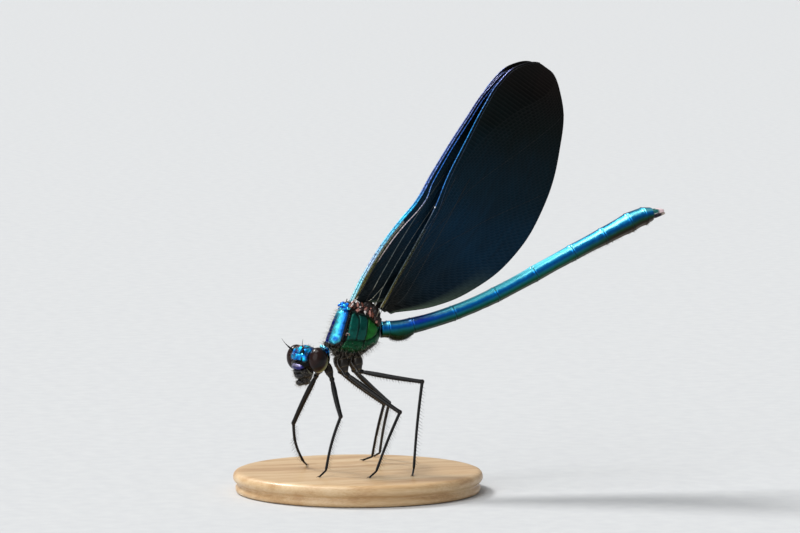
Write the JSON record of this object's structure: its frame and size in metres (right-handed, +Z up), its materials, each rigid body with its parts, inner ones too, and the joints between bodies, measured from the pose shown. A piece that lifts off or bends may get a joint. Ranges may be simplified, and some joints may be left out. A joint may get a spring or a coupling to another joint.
{
  "type": "damselfly model",
  "caption": "Life-size museum model of a male demoiselle damselfly, wings closed over its back, standing on a thin round wooden base.",
  "frame": {"origin": "middle of the round base's underside", "axes": "+Z up, head towards -X, tail towards +X, the insect's left side towards -Y"},
  "size_m": [0.0506, 0.028, 0.0478],
  "materials": {
    "blue_cuticle": "metallic blue insect cuticle",
    "teal_cuticle": "metallic blue-green insect cuticle",
    "wing_membrane": "thin dark veined membrane with a blue sheen",
    "black_cuticle": "glossy black insect cuticle",
    "eye_cornea": "smooth glossy dark brown faceted eye",
    "base_wood": "pale maple with satin lacquer"
  },
  "bodies": {
    "root": {"abdomen_1": "blue_cuticle", "abdomen_10": "blue_cuticle", "abdomen_2": "blue_cuticle", "abdomen_3": "blue_cuticle", "abdomen_4": "blue_cuticle", "abdomen_5": "blue_cuticle", "abdomen_6": "blue_cuticle", "abdomen_7": "blue_cuticle", "abdomen_8": "blue_cuticle", "abdomen_9": "blue_cuticle", "antenna_left": "black_cuticle", "antenna_right": "black_cuticle", "clasper_left": "black_cuticle", "clasper_right": "black_cuticle", "eye_left": "eye_cornea", "eye_right": "eye_cornea", "head": "blue_cuticle", "leg_front_left_coxa": "black_cuticle", "leg_front_left_femur": "black_cuticle", "leg_front_left_tarsus": "black_cuticle", "leg_front_left_tibia": "black_cuticle", "leg_front_right_coxa": "black_cuticle", "leg_front_right_femur": "black_cuticle", "leg_front_right_tarsus": "black_cuticle", "leg_front_right_tibia": "black_cuticle", "leg_hind_left_coxa": "black_cuticle", "leg_hind_left_femur": "black_cuticle", "leg_hind_left_tarsus": "black_cuticle", "leg_hind_left_tibia": "black_cuticle", "leg_hind_right_coxa": "black_cuticle", "leg_hind_right_femur": "black_cuticle", "leg_hind_right_tarsus": "black_cuticle", "leg_hind_right_tibia": "black_cuticle", "leg_mid_left_coxa": "black_cuticle", "leg_mid_left_femur": "black_cuticle", "leg_mid_left_tarsus": "black_cuticle", "leg_mid_left_tibia": "black_cuticle", "leg_mid_right_coxa": "black_cuticle", "leg_mid_right_femur": "black_cuticle", "leg_mid_right_tarsus": "black_cuticle", "leg_mid_right_tibia": "black_cuticle", "mouthparts": "black_cuticle", "prothorax": "teal_cuticle", "stand_base": "base_wood", "thorax": "teal_cuticle", "wing_fore_left": "wing_membrane", "wing_fore_right": "wing_membrane", "wing_hind_left": "wing_membrane", "wing_hind_right": "wing_membrane"}
  },
  "joints": []
}
